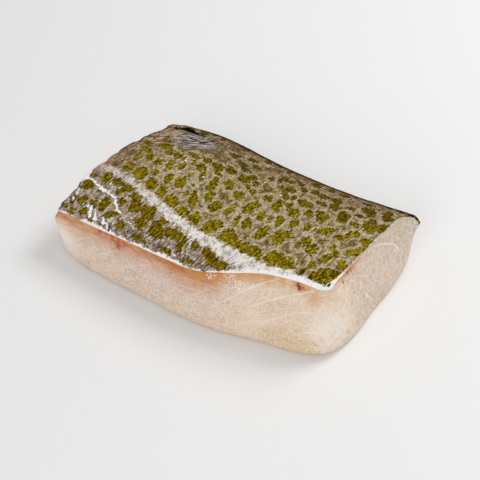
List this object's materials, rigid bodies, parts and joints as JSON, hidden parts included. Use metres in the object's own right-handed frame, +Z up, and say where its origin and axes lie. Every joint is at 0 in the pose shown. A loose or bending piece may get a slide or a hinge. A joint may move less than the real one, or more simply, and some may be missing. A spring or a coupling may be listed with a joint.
{
  "type": "cod fillet",
  "caption": "Raw skin-on cod fillet portion lying skin side up: a thick pale block of flesh with cut sides, under a spotted olive skin that folds over the back.",
  "frame": {"origin": "on the surface that the fillet rests on, under the middle of its bounding box", "axes": "+X along the fish from the thin end to the thick end, +Y towards the fish's back, where the skin folds down, +Z up through the skin"},
  "size_m": [0.1254, 0.0853, 0.0275],
  "materials": {
    "flesh": "moist, slightly translucent raw fish",
    "skin": "wet scaled fish skin with olive spots"
  },
  "bodies": {
    "root": {"flesh": "flesh", "skin": "skin"}
  },
  "joints": []
}
